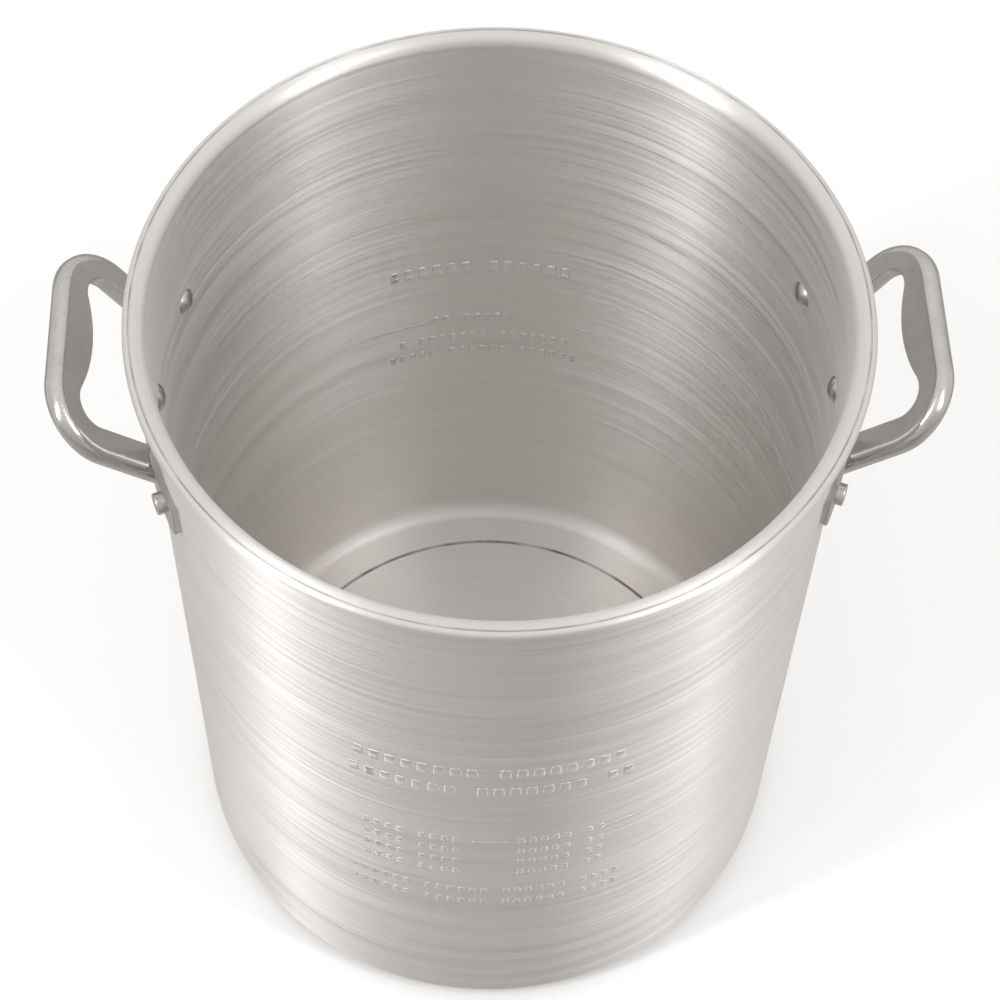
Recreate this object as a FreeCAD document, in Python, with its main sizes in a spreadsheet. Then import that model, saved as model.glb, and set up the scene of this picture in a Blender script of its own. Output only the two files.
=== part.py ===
"""Open-topped aluminium brew kettle, about 28 litres, with two riveted cast loop handles.

The kettle stands on the XY plane with its axis along Z and its handles on the X axis. One drawn
and spun shell carries the floor, the wall and the flared rim. Each handle is one casting: a
curved pad that lies against the wall, two arms that rise outward and a grip between them. Three
solid rivets fasten each pad through the wall, with a domed head inside and a button head outside.
"""
import FreeCAD, Part
import math
import os
import Sketcher
from FreeCAD import Placement, Rotation, Vector

# millimetres and degrees
DRIVING_SIZES = {
    "kettle_height": 403.0,
    "rim_outer_radius": 160.0,
    "rim_overhang": 6.5,
    "wall_thickness": 3.0,
    "floor_thickness": 4.0,
    "base_corner_radius": 14.0,
    "floor_corner_radius": 10.0,
    "rim_thickness": 4.4,
    "rim_flare_radius": 5.0,
    "rim_under_radius": 1.5,
    "floor_ring_radius": 125.0,
    "floor_ring_width": 1.0,
    "floor_ring_depth": 0.4,
    "rivet_drop": 65.0,
    "rivet_angle": 20.5,
    "rivet_shank_radius": 3.0,
    "dome_radius": 6.5,
    "dome_height": 3.0,
    "shank_into_dome": 1.0,
    "button_radius": 5.0,
    "button_height": 3.3,
    "button_edge": 0.8,
    "pad_thickness": 3.2,
    "pad_above_rivets": 12.5,
    "pad_below_rivets": 7.5,
    "pad_end_angle": 4.8,
    "pad_corner": 1.0,
    "handle_tilt": 50.0,
    "handle_reach": 55.5,
    "handle_thickness": 9.0,
    "arm_width": 14.0,
    "arm_to_button": 2.7,
    "arm_splay": 10.5,
    "grip_width": 19.5,
    "grip_bulge_radius": 66.0,
    "outer_corner_radius": 27.5,
    "inner_corner_radius": 11.0,
    "grip_round": 4.5,
    "under_round": 3.0,
    "edge_round": 1.0,
}
DERIVED_SIZES = {
    "wall_outer_radius": "=rim_outer_radius - rim_overhang",
    "wall_inner_radius": "=wall_outer_radius - wall_thickness",
    "pad_outer_radius": "=wall_outer_radius + pad_thickness",
    "pad_middle_radius": "=wall_outer_radius + pad_thickness / 2",
    "rivet_level": "=kettle_height - rivet_drop",
    "pad_half_angle": "=rivet_angle + pad_end_angle",
    "arm_half_spread": "=pad_outer_radius * sin(rivet_angle * 1 deg) - button_radius - arm_to_button",
    "pad_base_level": "=rivet_level - pad_below_rivets",
    "pad_top_level": "=rivet_level + pad_above_rivets",
    "arm_half_centre": "=arm_half_spread - arm_width / 2",
    "arm_root_radius": "=sqrt(pad_outer_radius ^ 2 - arm_half_centre ^ 2)",
    "arm_root_depth": "=(arm_root_radius - sqrt(wall_outer_radius ^ 2 - arm_half_spread ^ 2))"
                      " / cos(handle_tilt * 1 deg) + handle_thickness * tan(handle_tilt * 1 deg)",
    "dome_sphere_radius": "=(dome_radius ^ 2 + dome_height ^ 2) / (2 * dome_height)",
}
HANDLE_AZIMUTHS = {"right": 0, "left": 180}
# front is -Y: the signed number of rivet angles from the handle's own azimuth
RIVET_STEPS = {
    "right": {"front": -1, "middle": 0, "back": 1},
    "left": {"front": 1, "middle": 0, "back": -1},
}
START, END = 1, 2
Z_AXIS = Vector(0, 0, 1)
# tolerances in millimetres or degrees
NEAR = 0.1
TOUCHING = 0.01
# where the handle's outline is first drawn, before its constraints place it
DRAWN_ROOT = -30.0
DRAWN_TURN_SHARE = 0.75


def make_sheet(doc):
    """Driving and derived dimensions, one aliased cell each."""
    sheet = doc.addObject("Spreadsheet::Sheet", "Sizes")
    rows = {**DRIVING_SIZES, **DERIVED_SIZES}
    for row, (alias, value) in enumerate(rows.items(), start=1):
        sheet.set(f"A{row}", alias.replace("_", " "))
        sheet.set(f"B{row}", str(value))
        sheet.setAlias(f"B{row}", alias)
    doc.recompute()
    return sheet


def bind(target, **expressions):
    """Drive properties of an object by expressions of sheet values."""
    for name, expression in expressions.items():
        target.setExpression(name, expression)


class Outline:
    """Closed outline of lines and arcs in one sketch, with its sizes bound to the sheet."""

    def __init__(self, body, name, plane="XZ_Plane"):
        self.sketch = body.newObject("Sketcher::SketchObject", name)
        origin = next(f for f in body.Origin.OriginFeatures if f.Role == plane)
        self.sketch.AttachmentSupport = [(origin, "")]
        self.sketch.MapMode = "FlatFace"
        self.pieces = []

    def line(self, start, end):
        shape = Part.LineSegment(Vector(*start, 0), Vector(*end, 0))
        index = self.sketch.addGeometry(shape, False)
        self.pieces.append((index, START, END))
        return index

    def arc(self, centre, radius, first, last):
        """Arc travelled from angle first to angle last, in degrees, either way round."""
        low, high = sorted((first, last))
        circle = Part.Circle(Vector(*centre, 0), Z_AXIS, radius)
        shape = Part.ArcOfCircle(circle, math.radians(low), math.radians(high))
        index = self.sketch.addGeometry(shape, False)
        self.pieces.append((index, START, END) if first < last else (index, END, START))
        return index

    def circle(self, centre, radius):
        return self.sketch.addGeometry(Part.Circle(Vector(*centre, 0), Z_AXIS, radius), False)

    def close(self, corners=()):
        """Join each piece to the next, tangent unless the earlier one is named in corners."""
        for here, (index, _, end) in enumerate(self.pieces):
            following, start, _ = self.pieces[(here + 1) % len(self.pieces)]
            kind = "Coincident" if index in corners else "Tangent"
            self.fix(kind, index, end, following, start)

    def fix(self, kind, *references):
        return self.sketch.addConstraint(Sketcher.Constraint(kind, *references))

    def size(self, expression, kind, *references):
        """Dimension driven by an expression of sheet values, with angles in degrees."""
        value = float(self.sketch.evalExpression(expression))
        if kind == "Angle":
            value = math.radians(value)
        index = self.fix(kind, *references, value)
        self.sketch.setExpression(f"Constraints[{index}]", expression)


def rectangle(body, name, low_x, high_x, low_z, high_z):
    """Upright rectangle in the XZ plane between four sheet expressions."""
    outline = Outline(body, name)
    corners = [(100, 10), (110, 10), (110, 20), (100, 20)]
    base, outer, top, inner = [outline.line(a, b) for a, b in zip(corners, corners[1:] + corners[:1])]
    outline.close(corners=(base, outer, top, inner))
    for index in (base, top):
        outline.fix("Horizontal", index)
    for index in (outer, inner):
        outline.fix("Vertical", index)
    outline.size(low_x, "DistanceX", -1, START, base, START)
    outline.size(high_x, "DistanceX", -1, START, base, END)
    outline.size(low_z, "DistanceY", -1, START, base, START)
    outline.size(high_z, "DistanceY", -1, START, top, START)
    return outline.sketch


def revolve(body, kind, name, sketch, angle="360", midplane=False):
    """Revolution or Groove of a sketch about the kettle's axis."""
    feature = body.newObject(f"PartDesign::{kind}", name)
    feature.Profile = sketch
    feature.ReferenceAxis = (sketch, ["V_Axis"])
    feature.Midplane = midplane
    feature.setExpression("Angle", angle)
    body.Document.recompute()
    return feature


def cut_rivet_holes(body, name, azimuth, reach):
    """Three radial holes through the wall or a pad, one rivet angle apart about an azimuth."""
    outline = Outline(body, f"{name}Sketch", "YZ_Plane")
    hole = outline.circle((0, DRIVING_SIZES["kettle_height"]), 1)
    outline.fix("PointOnObject", hole, 3, -2)
    outline.size("Sizes.rivet_level", "DistanceY", -1, START, hole, 3)
    outline.size("Sizes.rivet_shank_radius", "Radius", hole)
    outline.sketch.AttachmentOffset = Placement(Vector(), Rotation(Vector(0, 1, 0), azimuth))
    outline.sketch.setExpression("AttachmentOffset.Rotation.Angle", f"{azimuth} - Sizes.rivet_angle")
    pocket = body.newObject("PartDesign::Pocket", name)
    pocket.Profile = outline.sketch
    pocket.Reversed = True
    bind(pocket, Length=reach)
    body.Document.recompute()
    pattern = body.newObject("PartDesign::PolarPattern", f"{name}Row")
    pattern.Originals = [pocket]
    pattern.Axis = (next(f for f in body.Origin.OriginFeatures if f.Role == "Z_Axis"), [""])
    pattern.Occurrences = 3
    bind(pattern, Angle="2 * Sizes.rivet_angle")
    body.Tip = pattern
    body.Document.recompute()
    return pattern


def shell_profile(body):
    """Half section of floor, wall and flared rim, from the axis out and back."""
    size = DRIVING_SIZES
    outer = size["rim_outer_radius"] - size["rim_overhang"]
    inner = outer - size["wall_thickness"]
    base_corner, floor_corner = size["base_corner_radius"], size["floor_corner_radius"]
    flare, under, lip = size["rim_flare_radius"], size["rim_under_radius"], size["rim_thickness"] / 2
    top, floor, rim = size["kettle_height"], size["floor_thickness"], size["rim_outer_radius"] - lip
    neck = top - 2 * lip - under
    outline = Outline(body, "ShellProfile")
    base = outline.line((0, 0), (outer - base_corner, 0))
    base_turn = outline.arc((outer - base_corner, base_corner), base_corner, -90, 0)
    wall_outside = outline.line((outer, base_corner), (outer, neck))
    under_turn = outline.arc((outer + under, neck), under, 180, 90)
    rim_below = outline.line((outer + under, neck + under), (rim, neck + under))
    rim_edge = outline.arc((rim, top - lip), lip, -90, 90)
    rim_top = outline.line((rim, top), (inner + flare, top))
    flare_turn = outline.arc((inner + flare, top - flare), flare, 90, 180)
    wall_inside = outline.line((inner, top - flare), (inner, floor + floor_corner))
    floor_turn = outline.arc((inner - floor_corner, floor + floor_corner), floor_corner, 0, -90)
    floor_top = outline.line((inner - floor_corner, floor), (0, floor))
    axis = outline.line((0, floor), (0, 0))
    outline.close(corners=(floor_top, axis))
    outline.fix("Coincident", base, START, -1, START)
    for index in (base, rim_below):
        outline.fix("Horizontal", index)
    for index in (axis, wall_outside, wall_inside):
        outline.fix("Vertical", index)
    outline.fix("Horizontal", floor_top)
    outline.fix("Horizontal", rim_top)
    outline.size("Sizes.base_corner_radius", "Radius", base_turn)
    outline.size("Sizes.floor_corner_radius", "Radius", floor_turn)
    outline.size("Sizes.rim_under_radius", "Radius", under_turn)
    outline.size("Sizes.rim_flare_radius", "Radius", flare_turn)
    outline.size("Sizes.wall_outer_radius", "DistanceX", -1, START, wall_outside, START)
    outline.size("Sizes.wall_inner_radius", "DistanceX", -1, START, wall_inside, START)
    outline.size("Sizes.floor_thickness", "DistanceY", -1, START, floor_top, END)
    outline.size("Sizes.kettle_height", "DistanceY", -1, START, rim_top, START)
    outline.size("Sizes.kettle_height - Sizes.rim_thickness", "DistanceY", -1, START, rim_below, START)
    outline.size("Sizes.rim_outer_radius - Sizes.rim_thickness / 2", "DistanceX", -1, START, rim_edge, 3)
    return outline.sketch


def floor_ring_profile(body):
    """Narrow V that opens at the floor, a shallow locating ring turned into it."""
    size = DRIVING_SIZES
    radius, half = size["floor_ring_radius"], size["floor_ring_width"] / 2
    floor, tip = size["floor_thickness"], size["floor_thickness"] - size["floor_ring_depth"]
    outline = Outline(body, "FloorRingProfile")
    down = outline.line((radius - half, floor), (radius, tip))
    rise = outline.line((radius, tip), (radius + half, floor))
    mouth = outline.line((radius + half, floor), (radius - half, floor))
    outline.close(corners=(down, rise, mouth))
    outline.fix("Horizontal", mouth)
    outline.fix("Equal", down, rise)
    outline.size("Sizes.floor_ring_width", "Distance", mouth)
    outline.size("Sizes.floor_ring_radius", "DistanceX", -1, START, rise, START)
    outline.size("Sizes.floor_thickness", "DistanceY", -1, START, mouth, START)
    outline.size("Sizes.floor_thickness - Sizes.floor_ring_depth", "DistanceY", -1, START, rise, START)
    return outline.sketch


def make_shell(doc):
    """Floor, wall and rim in one piece, pierced for both rows of rivets."""
    body = doc.addObject("PartDesign::Body", "Shell")
    revolve(body, "Revolution", "ShellTurn", shell_profile(body))
    revolve(body, "Groove", "FloorRing", floor_ring_profile(body))
    for side, azimuth in HANDLE_AZIMUTHS.items():
        cut_rivet_holes(body, f"{side.title()}Holes", azimuth, "Sizes.rim_outer_radius")
    body.Label = "kettle_shell"
    return body


def half_loop_outline(body):
    """Half of the handle's outline in its tilted plane, from the arm's root round to the grip.

    The sketch's X runs outward up the slope and its Y along the wall. The grip's inner side swells
    towards the kettle in the middle and turns into the arm with a small radius.
    """
    size = DRIVING_SIZES
    splay = math.radians(size["arm_splay"])
    reach, outer_turn, inner_turn = (size[k] for k in ("handle_reach", "outer_corner_radius",
                                                       "inner_corner_radius"))
    spread = body.Document.getObject("Sizes").get("arm_half_spread")
    width, bulge = size["arm_width"], size["grip_bulge_radius"]
    root = DRAWN_ROOT
    rise = math.tan(splay)
    inner_spread = spread - width / math.cos(splay)
    turn_x = reach - outer_turn
    turn_y = spread + turn_x * rise - outer_turn / math.cos(splay)
    grip_inside = reach - size["grip_width"]
    bulge_x = grip_inside + bulge
    small_y = DRAWN_TURN_SHARE * (spread - width)
    small_x = bulge_x - math.sqrt((bulge + inner_turn) ** 2 - small_y ** 2)
    meet = math.degrees(math.atan2(small_y, small_x - bulge_x))
    slope = size["arm_splay"]
    outline = Outline(body, "HandleOutline", "XY_Plane")
    outer_arm = outline.line((root, spread + root * rise), (turn_x, turn_y + outer_turn))
    outer_corner = outline.arc((turn_x, turn_y), outer_turn, 90 + slope, 0)
    grip_outside = outline.line((reach, turn_y), (reach, 0))
    middle = outline.line((reach, 0), (grip_inside, 0))
    swell = outline.arc((bulge_x, 0), bulge, 180, meet)
    inner_corner = outline.arc((small_x, small_y), inner_turn, meet - 180, 90 + slope)
    inner_arm = outline.line((small_x, small_y + inner_turn), (root, inner_spread + root * rise))
    root_end = outline.line((root, inner_spread + root * rise), (root, spread + root * rise))
    outline.close(corners=(grip_outside, middle, inner_arm, root_end))
    outline.fix("Vertical", grip_outside)
    outline.fix("Vertical", root_end)
    outline.fix("Horizontal", middle)
    outline.fix("PointOnObject", middle, START, -1)
    outline.fix("PointOnObject", swell, 3, -1)
    outline.fix("Parallel", outer_arm, inner_arm)
    outline.size("Sizes.handle_reach", "DistanceX", -1, START, middle, START)
    outline.size("Sizes.grip_width", "Distance", middle)
    outline.size("Sizes.grip_bulge_radius", "Radius", swell)
    outline.size("Sizes.outer_corner_radius", "Radius", outer_corner)
    outline.size("Sizes.inner_corner_radius", "Radius", inner_corner)
    outline.size("-Sizes.arm_root_depth", "DistanceX", -1, START, root_end, START)
    outline.size("Sizes.arm_splay", "Angle", -1, START, outer_arm, START)
    outline.size("Sizes.arm_half_spread - Sizes.arm_root_depth * tan(Sizes.arm_splay * 1 deg)",
                 "DistanceY", -1, START, outer_arm, START)
    outline.size("Sizes.arm_width / cos(Sizes.arm_splay * 1 deg)", "Distance", root_end)
    return outline.sketch


def round_edges(body, name, radius, chosen):
    """Fillet of the edges of the body's tip for which chosen(edge) holds."""
    body.Document.recompute()
    base = body.Tip
    names = [f"Edge{i}" for i, edge in enumerate(base.Shape.Edges, start=1) if chosen(edge)]
    fillet = body.newObject("PartDesign::Fillet", name)
    fillet.Base = (base, names)
    bind(fillet, Radius=radius)
    body.Document.recompute()
    return fillet


def is_outer_end_of_pad(edge):
    """Upright edge at either end of the pad's outer face."""
    middle = edge.CenterOfMass
    radius = math.hypot(middle.x, middle.y)
    azimuth = math.degrees(math.atan2(middle.y, middle.x))
    sheet = FreeCAD.ActiveDocument.getObject("Sizes")
    at_end = abs(abs(azimuth) - sheet.get("pad_half_angle")) < TOUCHING
    return at_end and abs(radius - sheet.get("pad_outer_radius")) < TOUCHING


def make_handle(doc, side, azimuth):
    """One casting: loop padded down from its tilted top plane, then the curved pad joined on."""
    body = doc.addObject("PartDesign::Body", f"{side.title()}Handle")
    sketch = half_loop_outline(body)
    sketch.AttachmentOffset = Placement(Vector(), Rotation(Vector(0, -1, 0), 1))
    sketch.setExpression("AttachmentOffset.Base.x", "Sizes.arm_root_radius")
    sketch.setExpression("AttachmentOffset.Base.z", "Sizes.pad_top_level")
    sketch.setExpression("AttachmentOffset.Rotation.Angle", "Sizes.handle_tilt")
    half = body.newObject("PartDesign::Pad", "HalfLoop")
    half.Profile = sketch
    half.Reversed = True
    bind(half, Length="Sizes.handle_thickness")
    doc.recompute()
    mirror = body.newObject("PartDesign::Mirrored", "Loop")
    mirror.Originals = [half]
    mirror.MirrorPlane = (next(f for f in body.Origin.OriginFeatures if f.Role == "XZ_Plane"), [""])
    body.Tip = mirror
    doc.recompute()

    to_top_plane = sketch.Placement.inverse()
    thickness = DRIVING_SIZES["handle_thickness"]
    grip_middle = DRIVING_SIZES["handle_reach"] - DRIVING_SIZES["grip_width"] / 2

    def along_grip(outside, underneath):
        """Picks the edge at the middle of the grip, from which a fillet runs on round the loop."""
        level = -thickness if underneath else 0

        def chosen(edge):
            local = to_top_plane.multVec(edge.CenterOfMass)
            box = edge.BoundBox
            meets_middle = box.YMin < NEAR and box.YMax > -NEAR
            return meets_middle and abs(local.z - level) < NEAR and (local.x > grip_middle) == outside
        return chosen

    round_edges(body, "GripRound", "Sizes.grip_round", along_grip(True, False))
    round_edges(body, "OuterUnderRound", "Sizes.under_round", along_grip(True, True))
    round_edges(body, "InnerUnderRound", "Sizes.under_round", along_grip(False, True))
    round_edges(body, "InnerTopRound", "Sizes.edge_round", along_grip(False, False))
    root_waste = rectangle(body, "RootWaste", "Sizes.wall_inner_radius / 2", "Sizes.pad_middle_radius",
                           "0", "Sizes.kettle_height + Sizes.handle_reach")
    revolve(body, "Groove", "RootTrim", root_waste)
    pad_section = rectangle(body, "PadSection", "Sizes.wall_outer_radius", "Sizes.pad_outer_radius",
                            "Sizes.pad_base_level", "Sizes.pad_top_level")
    revolve(body, "Revolution", "RivetPad", pad_section, "2 * Sizes.pad_half_angle", midplane=True)
    round_edges(body, "PadCorners", "Sizes.pad_corner", is_outer_end_of_pad)
    cut_rivet_holes(body, "PadHoles", 0, "Sizes.rim_outer_radius + Sizes.pad_thickness")
    body.Placement = Placement(Vector(), Rotation(Z_AXIS, azimuth))
    body.Label = f"handle_{side}"
    return body


def add_cylinder(doc, name, radius, height, lying_from=None):
    """Cylinder on the kettle's axis, or lying along X at rivet level from a given radius out."""
    cylinder = doc.addObject("Part::Cylinder", name)
    bind(cylinder, Radius=radius, Height=height)
    if lying_from is not None:
        cylinder.Placement = Placement(Vector(), Rotation(Vector(0, 1, 0), 90))
        cylinder.setExpression("Placement.Base.x", lying_from)
        cylinder.setExpression("Placement.Base.z", "Sizes.rivet_level")
    return cylinder


def combine(doc, kind, name, base, tool):
    """Cut or Common of two objects."""
    result = doc.addObject(f"Part::{kind}", name)
    result.Base = base
    result.Tool = tool
    return result


def make_rivet(doc, name, azimuth, steps):
    """Solid rivet: shank through wall and pad, dome seated inside, button seated on the pad."""
    height = "Sizes.kettle_height"
    inside = add_cylinder(doc, f"{name}_inside", "Sizes.wall_inner_radius", height)
    through = add_cylinder(doc, f"{name}_through", "Sizes.pad_outer_radius", height)
    shank = add_cylinder(doc, f"{name}_shank", "Sizes.rivet_shank_radius",
                         "Sizes.wall_thickness + Sizes.pad_thickness + Sizes.button_height / 2"
                         " + Sizes.shank_into_dome",
                         "Sizes.wall_inner_radius - Sizes.shank_into_dome")
    blank = add_cylinder(doc, f"{name}_blank", "Sizes.button_radius",
                         "Sizes.button_height + Sizes.pad_thickness",
                         "Sizes.wall_outer_radius")
    ball = doc.addObject("Part::Sphere", f"{name}_ball")
    bind(ball, Radius="Sizes.dome_sphere_radius")
    ball.setExpression("Placement.Base.x",
                       "Sizes.wall_inner_radius - Sizes.dome_height + Sizes.dome_sphere_radius")
    ball.setExpression("Placement.Base.z", "Sizes.rivet_level")
    doc.recompute()
    rounded = doc.addObject("Part::Fillet", f"{name}_rounded")
    rounded.Base = blank
    rim = max(range(len(blank.Shape.Edges)), key=lambda i: blank.Shape.Edges[i].CenterOfMass.x) + 1
    edge_radius = DRIVING_SIZES["button_edge"]
    rounded.Edges = [(rim, edge_radius, edge_radius)]
    button = combine(doc, "Cut", f"{name}_button", rounded, through)
    dome = combine(doc, "Common", f"{name}_dome", ball, inside)
    rivet = doc.addObject("Part::MultiFuse", name)
    rivet.Shapes = [shank, dome, button]
    rivet.Refine = True
    rivet.Placement = Placement(Vector(), Rotation(Z_AXIS, azimuth))
    rivet.setExpression("Placement.Rotation.Angle", f"{azimuth} + {steps} * Sizes.rivet_angle")
    rivet.Label = name
    return rivet


def check(doc, nodes):
    """Stop unless every object computed and every node is one valid solid."""
    for item in doc.Objects:
        if {"Invalid", "Error"} & set(item.State):
            raise RuntimeError(f"{item.Label} did not compute: {item.getStatusString()}")
    for node in nodes:
        shape = node.Shape
        if shape.isNull() or not shape.isValid() or len(shape.Solids) != 1:
            raise RuntimeError(f"{node.Label} is not one valid solid")


def main():
    doc = FreeCAD.newDocument("BrewKettle")
    make_sheet(doc)
    nodes = [make_shell(doc)]
    for side, azimuth in HANDLE_AZIMUTHS.items():
        nodes.append(make_handle(doc, side, azimuth))
        for place, steps in RIVET_STEPS[side].items():
            nodes.append(make_rivet(doc, f"rivet_{side}_{place}", azimuth, steps))
    doc.recompute()
    check(doc, nodes)
    os.makedirs("parts", exist_ok=True)
    for node in nodes:
        node.Shape.exportStep(f"parts/{node.Label}.step")
        print(f"{node.Label}: {node.Shape.Volume / 1000:.1f} cm3")


main()
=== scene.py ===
"""Finish of the aluminium brew kettle: spun shell, pressed marks, castings, floor, light, camera."""

import bpy
import numpy as np
from mathutils import Matrix, Vector


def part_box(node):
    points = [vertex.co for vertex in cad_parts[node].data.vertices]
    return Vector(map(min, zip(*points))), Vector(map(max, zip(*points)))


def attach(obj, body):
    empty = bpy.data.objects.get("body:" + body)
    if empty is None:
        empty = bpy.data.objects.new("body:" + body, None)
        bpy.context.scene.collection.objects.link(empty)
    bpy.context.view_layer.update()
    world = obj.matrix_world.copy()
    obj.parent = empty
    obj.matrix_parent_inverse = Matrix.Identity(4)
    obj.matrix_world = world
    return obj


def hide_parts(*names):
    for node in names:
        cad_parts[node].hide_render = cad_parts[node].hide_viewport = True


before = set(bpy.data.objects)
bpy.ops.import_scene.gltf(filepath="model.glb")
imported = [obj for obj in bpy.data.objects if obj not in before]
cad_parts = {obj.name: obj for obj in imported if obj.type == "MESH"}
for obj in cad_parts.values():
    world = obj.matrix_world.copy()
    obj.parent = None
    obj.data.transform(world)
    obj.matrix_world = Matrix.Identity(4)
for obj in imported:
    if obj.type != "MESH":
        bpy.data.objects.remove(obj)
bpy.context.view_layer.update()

# sizes in metres, the same as the solids'
RIM_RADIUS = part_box("kettle_shell")[1].x
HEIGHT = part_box("kettle_shell")[1].z
WALL_OUTER = RIM_RADIUS - 0.0065
WALL_INNER = WALL_OUTER - 0.003
FLOOR = 0.004
BASE_CORNER = 0.014
FLOOR_CORNER = 0.010
RIM_THICKNESS = 0.0044
RIM_FLARE = 0.005
RIM_UNDER = 0.0015
FLOOR_RING = (0.125, 0.0010, 0.0004)

# what the solids don't have: a fine line (radius, width, depth) turned into the top of the rim,
# a scuff (azimuth, level, half length in degrees, half width) inside the back wall, and bars in
# plain rows whose faces stand a lift over the wall and whose edges are sunk a little into it
RIM_LINE = (0.1572, 0.0006, 0.00020)
SCUFF = (54.0, 0.2863, 5.0, 0.0011)
MARK_LIFT = 0.00030
MARK_SINK = 0.00008
MARK_UNDERSIDE = 0.0002

# columns round the shell, and how near to a turn its straight runs hold a point
COLUMNS = 288
HOLD = 0.0003

# half height, width and gap of the bars
TALL_BAR = (0.0044, 0.0052, 0.0022)
SHORT_BAR = (0.0028, 0.0034, 0.0020)
INNER_BAR = (0.0030, 0.0034, 0.0020)
INNER_SMALL_BAR = (0.0026, 0.0034, 0.0020)
FILL_LINE_HALF_HEIGHT = 0.0006


# ---------------------------------------------------------------- surfaces

def new_piece(name, points, faces, material, slot):
    """Mesh object at the origin from an array of points and a list of faces, shaded smooth."""
    mesh = bpy.data.meshes.new(name)
    mesh.from_pydata(points.tolist(), [], faces)
    mesh.update()
    mesh.polygons.foreach_set("use_smooth", np.ones(len(mesh.polygons), bool))
    mesh.materials.append(material)
    piece = bpy.data.objects.new(name, mesh)
    bpy.context.scene.collection.objects.link(piece)
    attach(piece, "root")
    return piece


def arc(centre, radius, first, last, steps):
    """Points of a circular arc: centre + radius (cos a, sin a) as a runs from first to last."""
    angle = np.radians(np.linspace(first, last, steps))
    return np.array(centre) + radius * np.stack([np.cos(angle), np.sin(angle)], -1)


def straight(start, end, steps):
    """Points of a straight run between two turns: one close to each end, the others evenly spread.

    The ends themselves belong to the turns. The close ones keep the run's shading flat.
    """
    start, end = np.array(start, float), np.array(end, float)
    hold = min(HOLD / np.linalg.norm(end - start), 0.3)
    share = np.linspace(hold, 1 - hold, steps)[:, None]
    return start * (1 - share) + end * share


def groove(radius, width, depth, level):
    """Three points of a V turned into a level face, from its outer edge in."""
    half = width / 2
    return np.array([(radius + half, level), (radius, level - depth), (radius - half, level)])


def shell_outline():
    """Half section (radius, height) from under the base, up the outside, over the rim and down in."""
    lip = RIM_THICKNESS / 2
    neck = HEIGHT - RIM_THICKNESS - RIM_UNDER
    corner = WALL_INNER - FLOOR_CORNER
    ring = groove(*FLOOR_RING, FLOOR)
    line = groove(*RIM_LINE, HEIGHT)
    edge = RIM_RADIUS - lip
    return np.concatenate([
        straight((0, 0), (WALL_OUTER - BASE_CORNER, 0), 10),
        arc((WALL_OUTER - BASE_CORNER, BASE_CORNER), BASE_CORNER, -90, 0, 14),
        straight((WALL_OUTER, BASE_CORNER), (WALL_OUTER, neck), 14),
        arc((WALL_OUTER + RIM_UNDER, neck), RIM_UNDER, 180, 90, 6),
        straight((WALL_OUTER + RIM_UNDER, HEIGHT - RIM_THICKNESS), (edge, HEIGHT - RIM_THICKNESS), 2),
        arc((edge, HEIGHT - lip), lip, -90, 90, 18),
        straight((edge, HEIGHT), line[0], 2),
        line,
        straight(line[-1], (WALL_INNER + RIM_FLARE, HEIGHT), 2),
        arc((WALL_INNER + RIM_FLARE, HEIGHT - RIM_FLARE), RIM_FLARE, 90, 180, 14),
        straight((WALL_INNER, HEIGHT - RIM_FLARE), (WALL_INNER, FLOOR + FLOOR_CORNER), 14),
        arc((corner, FLOOR + FLOOR_CORNER), FLOOR_CORNER, 0, -90, 14),
        straight((corner, FLOOR), ring[0], 4),
        ring,
        straight(ring[-1], (0, FLOOR), 10),
    ])


def turned(outline):
    """Surface of revolution: (r cos t, r sin t, z) for each outline point, its two poles closed."""
    turn = np.linspace(0, 2 * np.pi, COLUMNS, endpoint=False)
    radius, level = outline[:, :1], outline[:, 1:]
    grid = np.stack([radius * np.cos(turn), radius * np.sin(turn),
                     level + np.zeros_like(turn)], -1).reshape(-1, 3)
    points = np.concatenate([grid, [(0, 0, outline[0, 1]), (0, 0, outline[-1, 1])]])
    column = np.arange(COLUMNS)
    after = (column + 1) % COLUMNS
    start = (np.arange(len(outline) - 1) * COLUMNS)[:, None]
    quads = np.stack([start + column, start + after, start + after + COLUMNS,
                      start + column + COLUMNS], -1).reshape(-1, 4)
    last = (len(outline) - 1) * COLUMNS
    bottom, top = len(grid), len(grid) + 1
    under = np.stack([np.full(COLUMNS, bottom), after, column], -1)
    inside = np.stack([np.full(COLUMNS, top), last + column, last + after], -1)
    return points, quads.tolist() + under.tolist() + inside.tolist()


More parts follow.
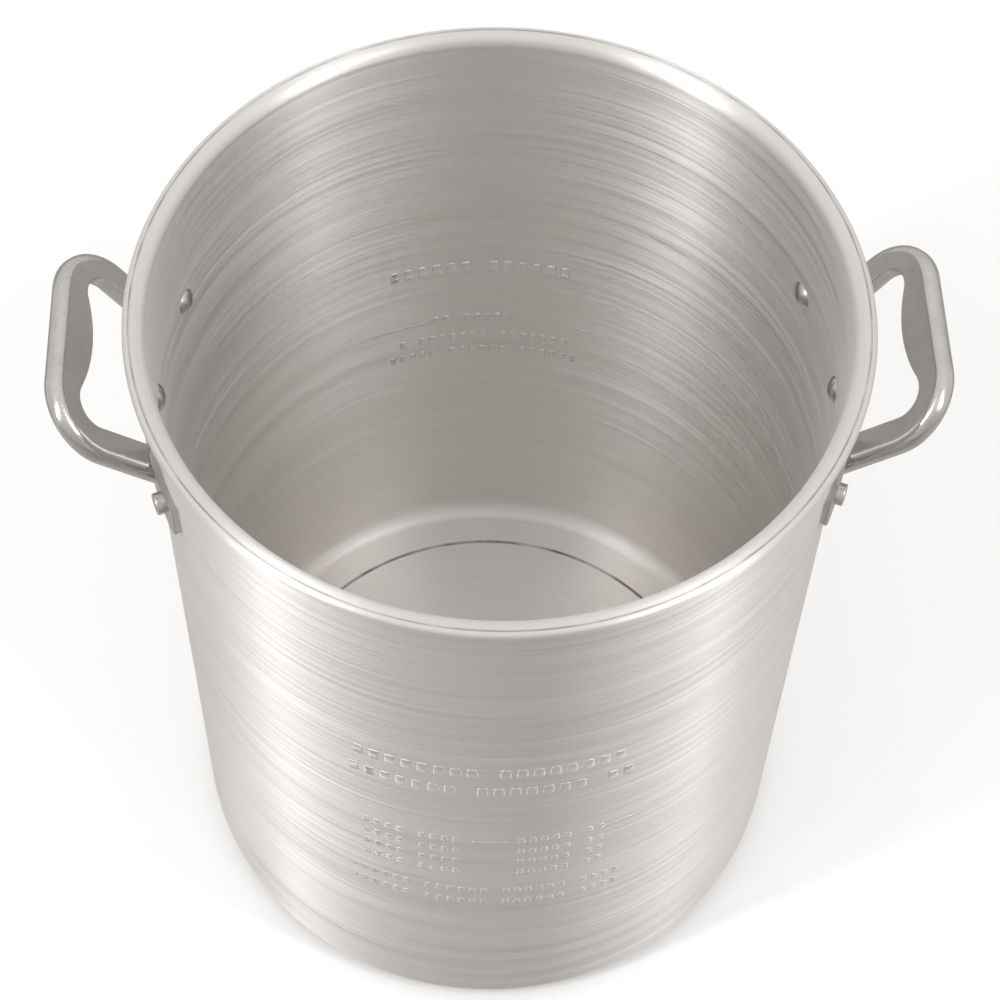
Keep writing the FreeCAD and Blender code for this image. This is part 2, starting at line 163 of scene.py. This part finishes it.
def pressed_bars(bars, wall, side):
    """Shallow pillows on the wall, each a closed lens over (u, v) from -1 to 1.

    A bar (azimuth, level, half angle, half height) lies at azimuth + u half angle and
    level + v half height. With pillow = (1 - u^4)(1 - v^4), its face stands
    (MARK_LIFT + MARK_SINK) pillow - MARK_SINK over the wall, and its underside lies
    MARK_SINK + MARK_UNDERSIDE pillow into it; the two share their rim.
    side is 1 outside, -1 inside.
    """
    across, up = 11, 7
    u, v = np.meshgrid(np.linspace(-1, 1, across), np.linspace(-1, 1, up), indexing="ij")
    pillow = (1 - u ** 4) * (1 - v ** 4)
    index = np.arange(across * up).reshape(across, up)
    rim = (abs(u) == 1) | (abs(v) == 1)
    under = index.copy()
    under[~rim] = across * up + np.arange((~rim).sum())
    corners = [index[:-1, :-1], index[1:, :-1], index[1:, 1:], index[:-1, 1:]]
    lower = [under[:-1, :-1], under[:-1, 1:], under[1:, 1:], under[1:, :-1]]
    faces = np.concatenate([np.stack(corners, -1).reshape(-1, 4), np.stack(lower, -1).reshape(-1, 4)])
    if side < 0:
        faces = faces[:, ::-1]
    azimuth, level, half_angle, half_height = np.array(bars).T[:, :, None, None]
    angle = np.radians(azimuth + u * half_angle)
    height = level + v * half_height + 0 * u
    face = wall + side * ((MARK_LIFT + MARK_SINK) * pillow - MARK_SINK)
    back = wall - side * (MARK_SINK + MARK_UNDERSIDE * pillow)

    def placed(radius):
        return np.stack([radius * np.cos(angle), radius * np.sin(angle), height], -1)

    fronts = placed(face).reshape(len(bars), -1, 3)
    backs = placed(back)[:, ~rim]
    points = np.concatenate([fronts, backs], 1)
    each = points.shape[1]
    offsets = (np.arange(len(bars)) * each)[:, None, None]
    return points.reshape(-1, 3), (faces + offsets).reshape(-1, 4).tolist()


def row_of_bars(first, last, level, bar, every, wall):
    """Plain bars from azimuth first to last, a pitch of width + gap apart, one in every left out."""
    half_height, width, gap = bar
    pitch = np.degrees((width + gap) / wall)
    count = int((last - first) / pitch)
    azimuth = first + pitch * (np.arange(count) + 0.5)
    kept = (np.arange(count) % every) != every - 1
    half = np.degrees(width / 2 / wall)
    return [(a, level, half, half_height) for a in azimuth[kept]]


def outside_marks():
    """Two tall rows, two columns of four short rows, two long low rows and a fill line, in front."""
    bars = row_of_bars(-116, -66, 0.2675, TALL_BAR, 9, WALL_OUTER)
    bars += row_of_bars(-117, -65, 0.2495, TALL_BAR, 8, WALL_OUTER)
    for level in (0.1970, 0.1853, 0.1735, 0.1618):
        bars += row_of_bars(-115, -94, level, SHORT_BAR, 5, WALL_OUTER)
        bars += row_of_bars(-87.5, -71, level, SHORT_BAR, 6, WALL_OUTER)
    for level in (0.1405, 0.1275):
        bars += row_of_bars(-118, -66, level, SHORT_BAR, 7, WALL_OUTER)
    for azimuth, half_angle in ((-92.2, 3.2), (-67.5, 3.6)):
        bars.append((azimuth, 0.1965, half_angle, FILL_LINE_HALF_HEIGHT))
    return bars


def inside_marks():
    """One tall row, three short ones and a fill line, inside the back wall."""
    bars = row_of_bars(73, 110.5, 0.2350, TALL_BAR, 7, WALL_INNER)
    bars += row_of_bars(84.5, 101, 0.1920, INNER_SMALL_BAR, 6, WALL_INNER)
    bars += row_of_bars(73, 110, 0.1750, INNER_BAR, 8, WALL_INNER)
    bars += row_of_bars(71, 111, 0.1625, INNER_BAR, 7, WALL_INNER)
    for azimuth, half_angle in ((108, 6), (71, 3.4)):
        bars.append((azimuth, 0.190, half_angle, FILL_LINE_HALF_HEIGHT))
    return bars


# ---------------------------------------------------------------- materials

# turn of the gloss, in full turns, that spreads it across the lines that run round the axis
ACROSS_LINES = 0.25

# spread of the painted shade that darkens the floor ring and rim line grooves, to either side of a
# groove, and above and below its level
RING_SPREAD = (0.0012, 0.002)
RIM_LINE_SPREAD = (0.0006, 0.001)
# how dark the painted shade in the rim line is, and how dark the worn scuff inside the back wall is
RIM_LINE_SHADE = 0.6
SCUFF_GRIME = 0.7

# colour of the painted shade in the grooves, also used for the worn scuff inside the back wall
GROOVE_SHADE_AND_SCUFF = (0.20, 0.18, 0.16, 1)
SPUN_TONES = (0.835, 0.808, 0.780, 1), (0.915, 0.895, 0.870, 1)
CAST_TONES = (0.54, 0.527, 0.513, 1), (0.66, 0.646, 0.632, 1)
CAST_PIT = (0.16, 0.145, 0.13, 1)
RIVET_TONES = (0.52, 0.50, 0.48, 1), (0.74, 0.72, 0.70, 1)


class Nodes:
    """Short way to add nodes to a tree and link them."""

    def __init__(self, tree):
        self.tree = tree

    def add(self, kind, values=None, **settings):
        node = self.tree.nodes.new(kind)
        for name, value in settings.items():
            setattr(node, name, value)
        for socket, value in (values or {}).items():
            if isinstance(value, bpy.types.NodeSocket):
                self.tree.links.new(value, node.inputs[socket])
            else:
                node.inputs[socket].default_value = value
        return node

    def math(self, operation, first, second=0.0):
        return self.add("ShaderNodeMath", {0: first, 1: second}, operation=operation).outputs[0]

    def ranged(self, value, low, high, first=0.0, last=1.0):
        """Value from low..high carried to first..last, and held at them beyond."""
        return self.add("ShaderNodeMapRange", {"Value": value, "From Min": low, "From Max": high,
                                               "To Min": first, "To Max": last}).outputs[0]

    def noise(self, place, scale, detail):
        return self.add("ShaderNodeTexNoise", {"Vector": place, "Scale": scale,
                                               "Detail": detail}).outputs[0]

    def from_axis(self, part):
        """Distance from the Z axis of a place in three parts: sqrt(x x + y y)."""
        square = self.math("ADD", self.math("MULTIPLY", part[0], part[0]),
                           self.math("MULTIPLY", part[1], part[1]))
        return self.math("SQRT", square)

    def parts(self, place):
        return self.add("ShaderNodeSeparateXYZ", {0: place}).outputs

    def blend(self, factor, first, second):
        node = self.add("ShaderNodeMix", {"Factor": factor}, data_type="RGBA")
        for socket, value in ((6, first), (7, second)):
            if isinstance(value, bpy.types.NodeSocket):
                self.tree.links.new(value, node.inputs[socket])
            else:
                node.inputs[socket].default_value = value
        return node.outputs[2]


def group_tree(name, inputs, outputs):
    """Empty node group with named float inputs and outputs; returns its nodes, entry and exit."""
    tree = bpy.data.node_groups.new(name, "ShaderNodeTree")
    for label, value in inputs.items():
        socket = tree.interface.new_socket(label, in_out="INPUT", socket_type="NodeSocketFloat")
        socket.default_value = value
    for label in outputs:
        tree.interface.new_socket(label, in_out="OUTPUT", socket_type="NodeSocketFloat")
    nodes = Nodes(tree)
    return tree, nodes, nodes.add("NodeGroupInput"), nodes.add("NodeGroupOutput")


def turning_lines_group():
    """Fine lines that run round the axis: noise that is quick along r + z and slow round the turn."""
    tree, n, entry, leave = group_tree("turning_lines", {"Pitch": 1400.0, "Drift": 5.0},
                                       ("Fine", "Broad"))
    part = n.parts(n.add("ShaderNodeTexCoord").outputs["Object"])
    along = n.math("ADD", n.from_axis(part), part[2])

    def lines(pitch, drift):
        spot = n.add("ShaderNodeCombineXYZ", {
            0: n.math("MULTIPLY", part[0], drift),
            1: n.math("MULTIPLY", part[1], drift),
            2: n.math("MULTIPLY", along, pitch)})
        return n.add("ShaderNodeTexNoise", {"Vector": spot.outputs[0], "Scale": 1.0, "Detail": 3.0,
                                            "Roughness": 0.6}).outputs[0]

    fine = lines(entry.outputs["Pitch"], entry.outputs["Drift"])
    broad = lines(n.math("MULTIPLY", entry.outputs["Pitch"], 0.12), entry.outputs["Drift"])
    tree.links.new(fine, leave.inputs["Fine"])
    tree.links.new(broad, leave.inputs["Broad"])
    return tree


def pitting_group():
    """Cast skin: small sunk pits, a soft orange-peel swell and handling scuffs."""
    tree, n, entry, leave = group_tree("cast_skin", {"Pit Scale": 900.0, "Swell Scale": 120.0},
                                       ("Pits", "Swell", "Scuffs"))
    place = n.add("ShaderNodeTexCoord").outputs["Object"]
    sunk = n.ranged(n.noise(place, entry.outputs["Pit Scale"], 2.0), 0.62, 0.74)
    swell = n.noise(place, entry.outputs["Swell Scale"], 3.0)
    stretched = n.add("ShaderNodeMapping", {"Vector": place, "Scale": (260.0, 60.0, 260.0)})
    scuffs = n.noise(stretched.outputs[0], 1.0, 4.0)
    for value, label in ((sunk, "Pits"), (swell, "Swell"), (scuffs, "Scuffs")):
        tree.links.new(value, leave.inputs[label])
    return tree


def metal(name, roughness, anisotropy):
    """Material with a metallic Principled shader whose constants sit on its own sockets."""
    material = bpy.data.materials.new(name)
    material.use_nodes = True
    n = Nodes(material.node_tree)
    shader = next(x for x in n.tree.nodes if x.type == "BSDF_PRINCIPLED")
    shader.inputs["Metallic"].default_value = 1.0
    shader.inputs["Roughness"].default_value = roughness
    shader.inputs["Anisotropic"].default_value = anisotropy
    shader.inputs["Anisotropic Rotation"].default_value = ACROSS_LINES if anisotropy else 0.0
    return material, n, shader


def finish(n, shader, inputs):
    """Links values that change over the surface to the named sockets of a shader."""
    for socket, value in inputs.items():
        n.tree.links.new(value, shader.inputs[socket])


def bumped(n, height, strength, distance):
    """Normal of a surface whose skin has this height, at this strength over this distance."""
    return n.add("ShaderNodeBump", {"Height": height, "Strength": strength,
                                    "Distance": distance}).outputs[0]


def group(n, tree, values=None):
    """Outputs of a node group placed in a material, with its own values."""
    node = n.add("ShaderNodeGroup", node_tree=tree)
    for label, value in (values or {}).items():
        node.inputs[label].default_value = value
    return node.outputs


def near(n, value, middle, reach):
    """Mask that is 1 where value is middle and falls to 0 a reach away."""
    away = n.math("ABSOLUTE", n.math("SUBTRACT", value, middle))
    return n.ranged(away, reach * 0.4, reach, 1.0, 0.0)


def groove_shade_and_scuff_mask(n, place):
    """Painted shade held in the floor ring and rim line grooves, and one short worn scuff inside the back
    wall.
    """
    part = n.parts(place)
    radius = n.from_axis(part)
    turn = n.math("ARCTAN2", part[1], part[0])
    broken = n.ranged(n.noise(place, 60.0, 4.0), 0.35, 0.6, 0.35, 0.95)
    ring = n.math("MULTIPLY", near(n, radius, FLOOR_RING[0], RING_SPREAD[0]),
                  near(n, part[2], FLOOR, RING_SPREAD[1]))
    line = n.math("MULTIPLY", near(n, radius, RIM_LINE[0], RIM_LINE_SPREAD[0]),
                  near(n, part[2], HEIGHT, RIM_LINE_SPREAD[1]))
    azimuth, level, half_length, half_width = SCUFF
    scuff = n.math("MULTIPLY", near(n, part[2], level, half_width),
                   near(n, turn, np.radians(azimuth), np.radians(half_length)))
    inner = n.math("LESS_THAN", radius, WALL_INNER + 0.001)
    held = n.math("MAXIMUM", n.math("MAXIMUM", ring, n.math("MULTIPLY", line, RIM_LINE_SHADE)),
                  n.math("MULTIPLY", n.math("MULTIPLY", scuff, inner), SCUFF_GRIME))
    return n.math("MULTIPLY", held, broken)


def spun_metal(lines_tree):
    """Satin aluminium turned on a lathe: lines round the axis in colour, gloss and height."""
    material, n, shader = metal("spun_aluminium_satin", 0.42, 0.95)
    lines = group(n, lines_tree)
    place = n.add("ShaderNodeTexCoord").outputs["Object"]
    cloud = n.noise(place, 9.0, 4.0)
    tone = n.math("ADD", n.math("MULTIPLY", lines["Fine"], 0.74),
                  n.math("ADD", n.math("MULTIPLY", lines["Broad"], 0.16), n.math("MULTIPLY", cloud, 0.1)))
    clean = n.blend(n.ranged(tone, 0.36, 0.64), *SPUN_TONES)
    height = n.math("ADD", lines["Fine"], n.math("MULTIPLY", lines["Broad"], 0.22))
    finish(n, shader, {
        # base colour darkened by painted shade in the floor ring and rim line grooves, and by the worn
        # scuff
        "Base Color": n.blend(groove_shade_and_scuff_mask(n, place), clean, GROOVE_SHADE_AND_SCUFF),
        "Roughness": n.ranged(tone, 0.36, 0.64, 0.35, 0.50),
        "Normal": bumped(n, height, 0.16, 0.0004),
        "Tangent": n.add("ShaderNodeTangent", direction_type="RADIAL", axis="Z").outputs[0]})
    return material


def cast_metal(skin_tree):
    """Tumbled and polished casting, glossy on its rounds, lightly pitted and scuffed."""
    material, n, shader = metal("cast_aluminium_polished", 0.22, 0.0)
    skin = group(n, skin_tree)
    clean = n.blend(skin["Swell"], *CAST_TONES)
    height = n.math("SUBTRACT", n.math("MULTIPLY", skin["Swell"], 0.8), skin["Pits"])
    finish(n, shader, {
        "Base Color": n.blend(n.math("MULTIPLY", skin["Pits"], 0.35), clean, CAST_PIT),
        "Roughness": n.ranged(skin["Scuffs"], 0.3, 0.7, 0.12, 0.26),
        "Normal": bumped(n, height, 0.10, 0.0004)})
    return material


def rivet_metal(skin_tree):
    """Headed rivet: bright crown, fine handling scuffs."""
    material, n, shader = metal("rivet_aluminium_headed", 0.26, 0.0)
    skin = group(n, skin_tree, {"Pit Scale": 1500.0, "Swell Scale": 300.0})
    finish(n, shader, {
        "Base Color": n.blend(skin["Swell"], *RIVET_TONES),
        "Roughness": n.ranged(skin["Scuffs"], 0.3, 0.7, 0.18, 0.36),
        "Normal": bumped(n, skin["Swell"], 0.12, 0.0003)})
    return material


# ---------------------------------------------------------------- studio

# (azimuth in degrees from +X, level) of the room's brightness round the kettle, and of the grey
# that the metal finds in the floor. The camera itself finds the floor near white all over.
ROOM = ((-180, 0.50), (-165, 0.50), (-120, 0.44), (-76, 0.35), (-55, 0.43), (-30, 0.52), (-10, 0.56),
        (20, 0.56), (60, 0.50), (110, 0.50), (150, 0.54), (180, 0.50))
FLOOR_GREYS = ((-180, 0.44), (-169, 0.52), (-159, 0.62), (-149, 0.50), (-115, 0.36), (-79, 0.28),
               (-58, 0.37), (-40, 0.46), (-35, 0.56), (-22, 0.54), (0, 0.46), (90, 0.44), (180, 0.44))
FLOOR_WHITE = (0.97, 0.97, 0.97, 1)
FLOOR_HALF = 6.0
FLOOR_ROUGHNESS = 0.9

# colour of the room straight up, and the heights of a direction between which it takes over
OVERHEAD = (0.65, 0.642, 0.634, 1)
OVERHEAD_RISE = (0.35, 0.95)
ROOM_STRENGTH = 1.5

# azimuth and elevation in degrees, distance, (width, height), watts
SOFTBOXES = {
    "softbox_left": (-151, 42, 1.9, (0.14, 1.5), 10),
    "softbox_right": (-33, 45, 1.9, (0.12, 1.5), 7),
    "softbox_front_left": (-138, 50, 2.6, (0.1, 1.0), 2),
    "softbox_front_right": (-52, 50, 2.6, (0.1, 1.0), 2),
}

# camera: swing round the kettle, yaw, pitch and roll in degrees, then its distance from the axis
# and its rise over the rim in rim radii, and its lens and sensor in millimetres
CAMERA_TURNS = (3.0, 0.23, 57.86, 1.96)
CAMERA_OUT = 3.942
CAMERA_RISE = 5.312
LENS = 89.68
SENSOR = 36
FAR_CLIP = 50


def round_ramp(n, place, stops):
    """Warm grey whose level follows the azimuth of a direction or a place round the Z axis."""
    way = n.parts(place)
    turn = n.math("ARCTAN2", way[1], way[0])
    ramp = n.add("ShaderNodeValToRGB", {"Fac": n.ranged(turn, -np.pi, np.pi)})
    marks = ramp.color_ramp.elements
    while len(marks) < len(stops):
        marks.new(0.5)
    for mark, (azimuth, level) in zip(marks, stops):
        mark.position = (azimuth + 180) / 360
        mark.color = (level, level * 0.985, level * 0.97, 1)
    return ramp.outputs[0]


def add_floor():
    """Wide matt floor under the kettle, white to the camera and greyer to the metal."""
    corners = [(-1, -1), (1, -1), (1, 1), (-1, 1)]
    mesh = bpy.data.meshes.new("studio_floor")
    mesh.from_pydata([(x * FLOOR_HALF, y * FLOOR_HALF, 0) for x, y in corners], [], [(0, 1, 2, 3)])
    material = bpy.data.materials.new("studio_floor_matt")
    material.use_nodes = True
    shader = next(x for x in material.node_tree.nodes if x.type == "BSDF_PRINCIPLED")
    shader.inputs["Roughness"].default_value = FLOOR_ROUGHNESS
    n = Nodes(material.node_tree)
    seen = n.add("ShaderNodeLightPath").outputs["Is Camera Ray"]
    greys = round_ramp(n, n.add("ShaderNodeTexCoord").outputs["Object"], FLOOR_GREYS)
    finish(n, shader, {"Base Color": n.blend(seen, greys, FLOOR_WHITE)})
    mesh.materials.append(material)
    floor = bpy.data.objects.new("studio_floor", mesh)
    bpy.context.scene.collection.objects.link(floor)


def add_light(name, azimuth, elevation, distance, size, power):
    """Rectangular softbox that looks at the middle of the kettle."""
    lamp = bpy.data.lights.new(name, "AREA")
    lamp.shape = "RECTANGLE"
    lamp.size, lamp.size_y = size
    lamp.energy = power
    box = bpy.data.objects.new(name, lamp)
    turn, rise = np.radians(azimuth), np.radians(elevation)
    way = Vector((np.cos(turn) * np.cos(rise), np.sin(turn) * np.cos(rise), np.sin(rise)))
    target = Vector((0, 0, HEIGHT / 2))
    box.location = target + way * distance
    box.rotation_euler = (-way).to_track_quat("-Z", "Y").to_euler()
    bpy.context.scene.collection.objects.link(box)


def add_studio():
    """Soft room whose brightness changes slowly round the kettle, and four narrow softboxes."""
    world = bpy.data.worlds.new("studio")
    world.use_nodes = True
    n = Nodes(world.node_tree)
    background = next(x for x in n.tree.nodes if x.type == "BACKGROUND")
    way = n.add("ShaderNodeTexCoord").outputs["Generated"]
    overhead = n.ranged(n.parts(way)[2], *OVERHEAD_RISE)
    shade = n.blend(overhead, round_ramp(n, way, ROOM), OVERHEAD)
    n.tree.links.new(shade, background.inputs["Color"])
    background.inputs["Strength"].default_value = ROOM_STRENGTH
    bpy.context.scene.world = world
    bpy.context.scene.view_settings.view_transform = "Standard"
    for name, settings in SOFTBOXES.items():
        add_light(name, *settings)


def add_camera():
    """Camera above the front, looking down into the kettle, rolled by a little under two degrees."""
    swing, yaw, pitch, roll = np.radians(CAMERA_TURNS)
    back = Matrix.Rotation(-swing, 3, "Z")
    forward = back @ Vector((np.sin(yaw) * np.cos(pitch), np.cos(yaw) * np.cos(pitch), -np.sin(pitch)))
    level = back @ Vector((np.cos(yaw), -np.sin(yaw), 0))
    upright = level.cross(forward)
    right = np.cos(roll) * level + np.sin(roll) * upright
    up = -np.sin(roll) * level + np.cos(roll) * upright
    camera = bpy.data.objects.new("camera", bpy.data.cameras.new("camera"))
    camera.data.sensor_width = SENSOR
    camera.data.lens = LENS
    camera.data.clip_end = FAR_CLIP
    out = back @ Vector((0, -CAMERA_OUT * RIM_RADIUS, 0))
    place = out + Vector((0, 0, HEIGHT + CAMERA_RISE * RIM_RADIUS))
    camera.matrix_world = Matrix.Translation(place) @ Matrix((right, up, -forward)).transposed().to_4x4()
    bpy.context.scene.collection.objects.link(camera)
    bpy.context.scene.camera = camera


# ---------------------------------------------------------------- the kettle

def finish_node(node, material):
    """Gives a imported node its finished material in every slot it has."""
    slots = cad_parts[node].data.materials
    for index in range(len(slots)):
        slots[index] = material


lines_tree, skin_tree = turning_lines_group(), pitting_group()
spun, cast, headed = spun_metal(lines_tree), cast_metal(skin_tree), rivet_metal(skin_tree)

shell = new_piece("kettle_shell_spun", *turned(shell_outline()), spun, "spun_aluminium")
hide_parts("kettle_shell")
new_piece("marks_outside", *pressed_bars(outside_marks(), WALL_OUTER, 1), spun, "spun_aluminium")
new_piece("marks_inside", *pressed_bars(inside_marks(), WALL_INNER, -1), spun, "spun_aluminium")

for side in ("right", "left"):
    finish_node(f"handle_{side}", cast)
    for spot in ("front", "middle", "back"):
        finish_node(f"rivet_{side}_{spot}", headed)

add_floor()
add_studio()
add_camera()
